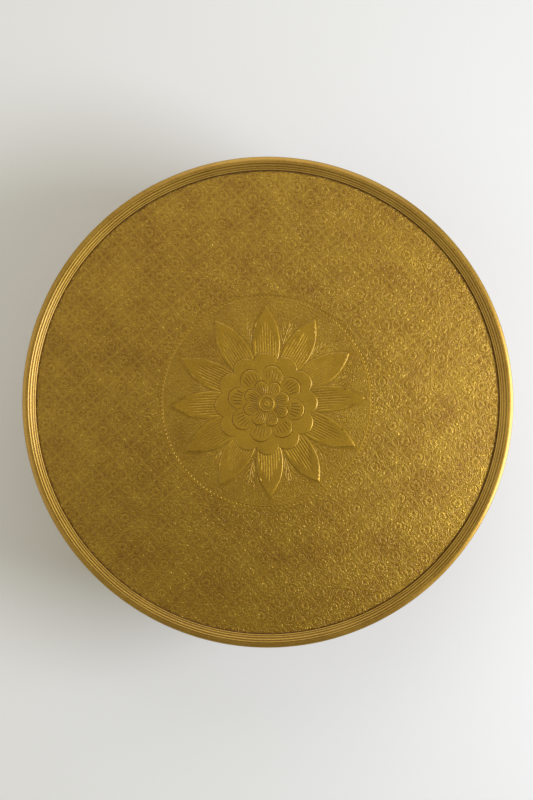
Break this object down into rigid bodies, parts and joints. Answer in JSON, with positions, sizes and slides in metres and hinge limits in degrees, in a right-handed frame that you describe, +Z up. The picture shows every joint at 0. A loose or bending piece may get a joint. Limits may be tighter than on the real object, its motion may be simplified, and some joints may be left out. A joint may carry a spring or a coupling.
{
  "type": "drum coffee table",
  "caption": "Low round drum table clad in embossed brass sheet over a wooden drum, with a beaded raised rim round its tray top, a chased flower in the middle and levelling glides.",
  "frame": {"origin": "on the floor under the middle of the table", "axes": "+Z up along the drum's axis, +Y towards the flower's top leaf, +X to its right seen from above"},
  "size_m": [0.8, 0.8, 0.4],
  "materials": {
    "antique_brass": "embossed, aged",
    "board": "raw board",
    "timber": "sawn",
    "zinc_steel": "zinc plated",
    "glide_plastic": "moulded"
  },
  "bodies": {
    "root": {"top_sheet": "antique_brass", "rim_moulding": "antique_brass", "base_band": "antique_brass", "side_sheet_1": "antique_brass", "side_sheet_2": "antique_brass", "side_sheet_3": "antique_brass", "seam_strip_1": "antique_brass", "seam_strip_2": "antique_brass", "seam_strip_3": "antique_brass", "skirt_pins": "antique_brass", "base_band_pins": "antique_brass", "seam_strip_pins": "antique_brass", "rim_core": "board", "top_board": "board", "base_board": "board", "ply_skin_1": "board", "ply_skin_2": "board", "upper_hoop": "timber", "middle_hoop": "timber", "post_1": "timber", "post_2": "timber", "post_3": "timber", "post_4": "timber", "post_5": "timber", "post_6": "timber", "post_bottom_screws": "zinc_steel", "post_top_screws": "zinc_steel", "top_board_screws": "zinc_steel", "threaded_inserts": "zinc_steel"},
    "glide_1": {"glide_pad_1": "glide_plastic", "glide_stud_1": "zinc_steel"},
    "glide_2": {"glide_pad_2": "glide_plastic", "glide_stud_2": "zinc_steel"},
    "glide_3": {"glide_pad_3": "glide_plastic", "glide_stud_3": "zinc_steel"},
    "glide_4": {"glide_pad_4": "glide_plastic", "glide_stud_4": "zinc_steel"},
    "glide_5": {"glide_pad_5": "glide_plastic", "glide_stud_5": "zinc_steel"},
    "glide_6": {"glide_pad_6": "glide_plastic", "glide_stud_6": "zinc_steel"}
  },
  "joints": [
    {"name": "glide_1_travel", "type": "slide", "parent": "root", "child": "glide_1", "axis": [0, 0, -1], "range_m": [0, 0.012]},
    {"name": "glide_2_travel", "type": "slide", "parent": "root", "child": "glide_2", "axis": [0, 0, -1], "range_m": [0, 0.012]},
    {"name": "glide_3_travel", "type": "slide", "parent": "root", "child": "glide_3", "axis": [0, 0, -1], "range_m": [0, 0.012]},
    {"name": "glide_4_travel", "type": "slide", "parent": "root", "child": "glide_4", "axis": [0, 0, -1], "range_m": [0, 0.012]},
    {"name": "glide_5_travel", "type": "slide", "parent": "root", "child": "glide_5", "axis": [0, 0, -1], "range_m": [0, 0.012]},
    {"name": "glide_6_travel", "type": "slide", "parent": "root", "child": "glide_6", "axis": [0, 0, -1], "range_m": [0, 0.012]}
  ]
}
